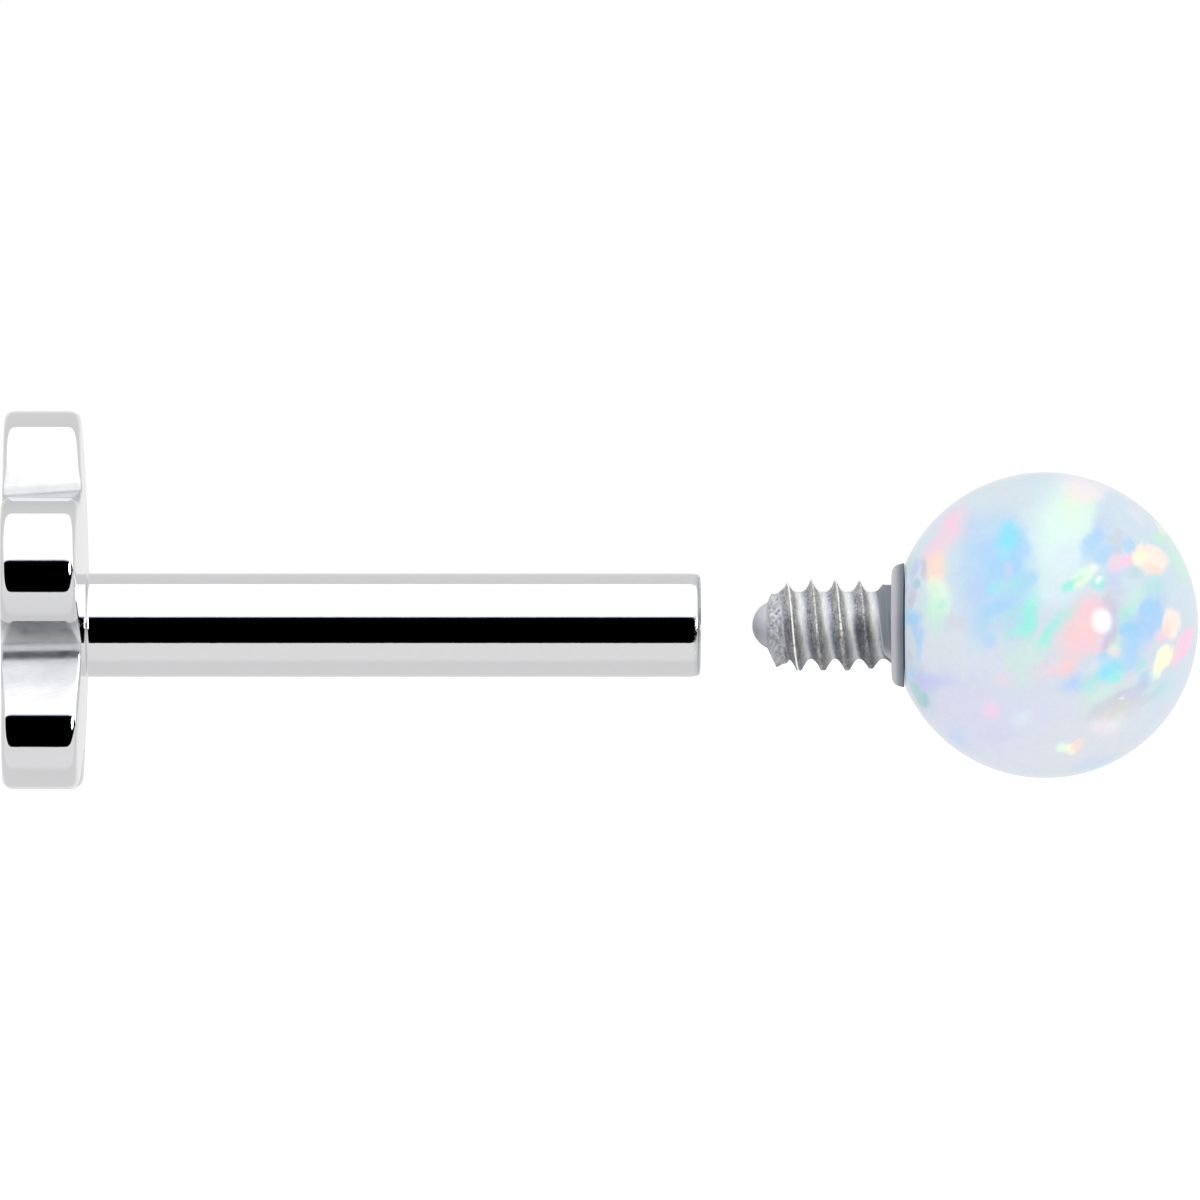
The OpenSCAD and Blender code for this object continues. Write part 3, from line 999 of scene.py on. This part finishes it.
def stem_ring(along, turn, height_on, low):
    """Radius of the stem round one ring, and the marks there for its material."""
    turns = (along - FIRST_CREST) / PITCH - turn / (2 * math.pi)
    nearest = np.round(turns)
    torn = ripple(np.cos(turn) * 9, np.sin(turn) * 9 + nearest * 5, 3, 14, 2.5)
    worn = (1.01 - 0.04 * np.abs(torn)) * np.interp(along, RUN_OUT_AT, RUN_OUT)
    # The thread's first turn, before it is cut to its full depth, comes out of the frosty end
    share_round = turn / (2 * math.pi)
    begun = np.where(nearest < -0.5, 0.5 * smooth((share_round - 0.8) / 0.17), 1.0)
    begun = np.where(np.abs(nearest) < 0.5, 0.5 + 0.5 * smooth(share_round), begun)
    ahead_of_thread = 1 - smooth((turns + 0.5) / 0.25)
    ledge = LEDGE_H * (1 - smooth((along - LEDGE_END) / 0.035)) * smooth((-0.5 - height_on) / 0.4)
    root = lerp(ROOT_R + ledge, FRONT_R, ahead_of_thread * (1 - begun * (nearest < -0.5)))
    radius = root + (THREAD_R - root) * thread_height(np.abs(turns - nearest), low) * worn * begun
    radius = radius + TOOL_MARKS * ripple(turn * 6, along * 90, 5, 10, 2)
    # The last turn is flat-topped and runs out against the collar
    not_below = smooth((height_on + 0.9) / 0.4)
    last = smooth((turns - PLATEAU_FROM) / 0.1) * not_below
    radius = np.maximum(radius, lerp(root, PLATEAU_R, last))
    # Frosty cone, and the nose in front of it
    grit = GRIT * ripple(turn * 14, along * 300, 7, 16, 3)
    past = smooth((along - NOSE_MEET) / 0.02)
    frost = smooth((-0.36 - turns) / 0.1) * past
    radius = np.minimum(radius + frost * grit, (along - CONE_START) * CONE_RISE + grit * past)
    nose = math.sqrt(max(0.0, NOSE_R ** 2 - (NOSE_R - along) ** 2))
    if along <= NOSE_MEET:
        radius = nose
    elif along < NOSE_R:
        radius = np.maximum(radius, nose + 0.3 * grit)
    # Painted highlight along the crests: all round on the first turn, and only on the upper side of
    # later turns
    light = np.array(CREST_HIGHLIGHT)[np.clip(nearest, 0, 4).astype(int)]
    crest = np.where(nearest < 0.5, 1.0, smooth((height_on + 0.35) / 0.3) * light) * (nearest > -0.5)
    band = smooth((turns - BAND_FROM) / 0.1) * not_below
    plain = np.maximum(1 - past, band)
    marks = {"plain": plain, "frost": frost, "shade": BAND_SHADE * band, "crest": crest * (1 - frost)}
    return np.minimum(radius, THREAD_R), marks


def rays(count):
    """Turns of so many places round the axis from the bottom on, and the directions to them."""
    turn = np.linspace(0, 2 * math.pi, count, endpoint=False)
    return turn, np.column_stack([np.zeros(count), np.sin(turn), -np.cos(turn)])


def threaded_stem(material):
    turn, ray = rays(288)
    # How near the bottom each place round is: the steel is painted darker there as shade, and the
    # crests are rounder
    low = smooth(0.45 + np.cos(turn))
    skin = Skin(len(turn), plain=1.0, frost=0.0, shade=0.0, crest=0.0, low=low)

    def ring(along, radius, **marks):
        skin.ring((NOSE_X + along, 0.0, AXIS_Z) + np.reshape(radius, (-1, 1)) * ray, **marks)

    for along in stem_places():
        radius, marks = stem_ring(along, turn, -np.cos(turn), low)
        ring(along, radius, **marks)
    # Collar: a flat face, a worn corner and a wall that widens towards the ball, with painted shade
    # that deepens towards the ball, then the hidden peg
    collar = [
        (0.0, 0.4), (0.0, 0.46), (0.0, 0.505), (0.002, 0.523), (0.007, 0.54), (0.014, 0.556),
        (0.024, 0.571), (0.036, 0.582), (0.05, 0.59), (0.07, 0.597), (0.09, 0.602), (0.11, 0.607),
        (0.121, COLLAR_R),
    ]
    for step, radius in collar:
        ring(COLLAR_FACE + step, radius, shade=smooth((step - 0.004) / 0.115), low=low * 0.25)
    for radius in (COLLAR_R - 0.003, 0.55, 0.4, PEG_R):
        ring(COLLAR_END, radius, shade=1.0)
    for short, radius in ((0.02, PEG_R), (0.0, PEG_R - 0.02), (0.0, 0.1), (0.0, 0.0)):
        ring(PEG_END - NOSE_X - short, radius)
    return skin.build("threaded_stem_and_collar", "turned_steel", "ball_end", material, "threaded_stem")


def opal_ball(material):
    ray = rays(400)[1]
    centre = np.array([BALL_X, 0.0, AXIS_Z])
    skin = Skin(len(ray))
    seat = -math.sqrt(BALL_R ** 2 - FLAT_R ** 2)
    hole_end = PEG_END + 0.01 - BALL_X

    def ring(along, radius, normal):
        skin.ring(centre + AHEAD * along + ray * radius, normal)

    # From the bottom of the hole out to the flat, then round the ball
    for radius in (0.0, 0.15, HOLE_R - 0.01):
        ring(hole_end, radius, -AHEAD)
    for along in (hole_end - 0.01, lerp(hole_end, seat, 0.5), seat + 0.01):
        ring(along, HOLE_R, -ray)
    for radius in (HOLE_R + 0.01, 0.42, 0.52, FLAT_R - 0.012):
        ring(seat, radius, -AHEAD)
    start = math.asin(FLAT_R / BALL_R) + 0.008
    for share in (0.0, *shares(222)):
        angle = lerp(start, math.pi, share)
        normal = -AHEAD * math.cos(angle) + ray * math.sin(angle)
        skin.ring(centre + normal * BALL_R, normal)
    piece = skin.build("opal_ball_end", "white_opal", "ball_end", material, "opal_ball")
    tones = opal_colors((joined(skin.points) - centre) / BALL_R)
    layer = piece.data.attributes.new("flakes", "FLOAT_COLOR", "POINT")
    layer.data.foreach_set("color", tones.astype(np.float32).ravel())
    return piece


star_back_post(polished_steel())
threaded_stem(turned_steel())
opal_ball(white_opal())


# Studio
FLOOR_HALF = 2.0
# Tones round the post's axis, by angle in degrees: 0 is towards the camera and 90 is up
AROUND = [
    (-180, 238), (-162, 238), (-146, 222), (-92, 222), (-80, 234), (-42, 234), (-30, 238), (100, 238),
    (106, 221), (150, 221), (166, 238), (180, 240),
]
# The white screen and the black one under it, from the camera's side to above
SCREENS = [(-180, 0), (16, 0), (17.5, (30, 40, 80)), (19, (260, 270, 300)), (21, 340), (180, 340)]
SCREENS_LOW = -40
SCREENS_HIGH = 104
# How far the screens reach along the post, as the sideways part of a direction to them
SCREENS_LEFT = 0.8
SCREENS_RIGHT = 1.02
# Shape of the screens' corners: powers up and along the post
SCREENS_CORNER_UP = 4.0
SCREENS_CORNER_SIDE = 2.5
# Tone of the tent's two ends
END_GREY = 222
# Direction to the lamp, which fades from its bright middle to its edge
LAMP_TOWARDS = (0.692, -0.719, 0.059)
LAMP_CORE = math.radians(4.6)
LAMP_EDGE = math.radians(11.0)
LAMP_POWER = 22.0
BACKGROUND = 1.0


def build_floor():
    """A pale floor that neither the part's mirrors nor its matt surfaces see."""
    half = FLOOR_HALF
    corners = [(-half, -half, 0), (half, -half, 0), (half, half, 0), (-half, half, 0)]
    material = new_material(
        "floor", Base_Color=(0.98, 0.98, 0.98, 1.0), Roughness=0.9, Specular_IOR_Level=0.0,
        Emission_Color=(1.0, 1.0, 1.0, 1.0), Emission_Strength=0.1,
    )[0]
    floor = add_piece("floor", corners, [(0, 1, 2, 3)], material)
    floor.visible_glossy = False
    floor.visible_diffuse = False


def tent_tones(shader, turn, stops):
    return shader.ramp(turn, [((degrees + 180) / 360, color(tone)) for degrees, tone in stops])


def mirrored_tent(shader, towards):
    """What the polished surfaces mirror: pale bands, two screens among them, and a lamp."""
    parts = shader.add("ShaderNodeSeparateXYZ", {"Vector": towards}).outputs
    angle = shader.math("ARCTAN2", parts["Z"], shader.times(parts["Y"], -1.0))
    turn = shader.math("MULTIPLY_ADD", angle, 1 / (2 * math.pi), 0.5)
    side = shader.math("ABSOLUTE", parts["X"])
    bands = shader.mix(shader.step(side, 0.85, 0.97), tent_tones(shader, turn, AROUND), color(END_GREY))
    middle = math.radians(SCREENS_LOW + SCREENS_HIGH) / 2
    half = math.radians(SCREENS_HIGH - SCREENS_LOW) / 2
    up = shader.math("ABSOLUTE", shader.math("MULTIPLY_ADD", angle, 1 / half, -middle / half))
    out = shader.math("DIVIDE", side, shader.step(parts["X"], -0.3, 0.3, SCREENS_LEFT, SCREENS_RIGHT))
    powers = ((up, SCREENS_CORNER_UP), (out, SCREENS_CORNER_SIDE))
    reach = shader.math("ADD", *[shader.math("POWER", share, power) for share, power in powers])
    tones = shader.mix(shader.step(reach, 0.97, 1.05), tent_tones(shader, turn, SCREENS), bands)
    lamp_cos = shader.vector("DOT_PRODUCT", towards, LAMP_TOWARDS)
    lamp = shader.step(lamp_cos, math.cos(LAMP_EDGE), math.cos(LAMP_CORE), 0.0, LAMP_POWER)
    return shader.mix(1.0, tones, shader.grey(lamp), "ADD")


def build_light():
    """A light tent: even light for matt surfaces, bands and a lamp for what mirrors them, and a
    white ground for the camera."""
    world = bpy.data.worlds.new("tent")
    world.use_nodes = True
    shader = Shader(world.node_tree)
    tent = mirrored_tent(shader, shader.add("ShaderNodeTexCoord").outputs["Generated"])
    path = shader.add("ShaderNodeLightPath").outputs
    for ray, level in (("Is Diffuse Ray", AMBIENT), ("Is Camera Ray", BACKGROUND)):
        tent = shader.mix(path[ray], tent, (level, level, level, 1.0))
    light = shader.add("ShaderNodeBackground", {"Color": tent})
    result = shader.add("ShaderNodeOutputWorld")
    shader.put(result.inputs["Surface"], light.outputs["Background"])
    world.cycles.sampling_method = "NONE"
    bpy.context.scene.world = world


# Camera: level with a point a little above the post, almost square to the post
CAMERA_AWAY = 530.0
CAMERA_YAW = math.radians(-1.02)
CAMERA_X = -0.0125
CAMERA_Z = 1.851
LENS = 1622.3
SENSOR = 36


def build_camera():
    data = bpy.data.cameras.new("camera")
    data.lens = LENS
    data.sensor_width = SENSOR
    data.clip_start = 0.001
    data.clip_end = 10
    camera = bpy.data.objects.new("camera", data)
    back = CAMERA_AWAY * math.cos(CAMERA_YAW)
    across = CAMERA_X - CAMERA_AWAY * math.sin(CAMERA_YAW)
    camera.location = [value * MM for value in (across, -back, CAMERA_Z)]
    camera.rotation_euler = (math.pi / 2, 0, -CAMERA_YAW)
    bpy.context.scene.collection.objects.link(camera)
    bpy.context.scene.camera = camera


build_floor()
build_light()
build_camera()
bpy.context.scene.view_settings.view_transform = "Standard"
